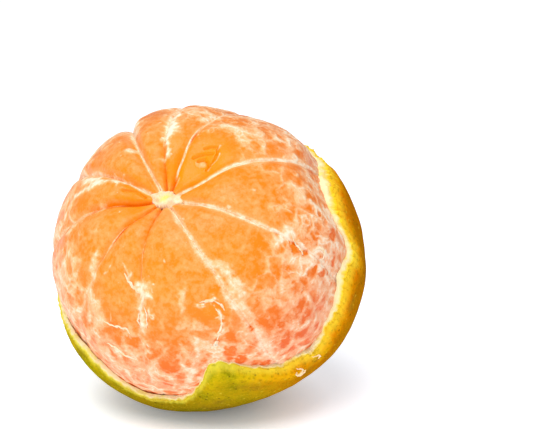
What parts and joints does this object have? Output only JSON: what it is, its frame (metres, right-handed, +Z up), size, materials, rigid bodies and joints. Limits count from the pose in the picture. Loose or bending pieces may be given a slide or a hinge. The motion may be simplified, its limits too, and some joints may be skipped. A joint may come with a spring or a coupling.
{
  "type": "half peeled sweet orange",
  "caption": "Half-peeled orange, leaning in its torn cup of peel, with separate segments, a white core and a raised net of pith.",
  "frame": {"origin": "on the small flat spot of the peel that the fruit rests on, straight below the fruit's centre", "axes": "+Z up; +Y away from the side that shows the core; the core leans 48 degrees from +Z, towards -Y and a little towards -X"},
  "size_m": [0.0753, 0.0746, 0.0728],
  "materials": {
    "peel_skin": "satin, dimpled with oil glands",
    "white_pith": "matt and fibrous",
    "segment_skin": "moist, slightly see-through"
  },
  "bodies": {
    "root": {"peel": "peel_skin", "pith": "white_pith", "segment_01": "segment_skin", "segment_02": "segment_skin", "segment_03": "segment_skin", "segment_04": "segment_skin", "segment_05": "segment_skin", "segment_06": "segment_skin", "segment_07": "segment_skin", "segment_08": "segment_skin", "segment_09": "segment_skin", "segment_10": "segment_skin"}
  },
  "joints": []
}
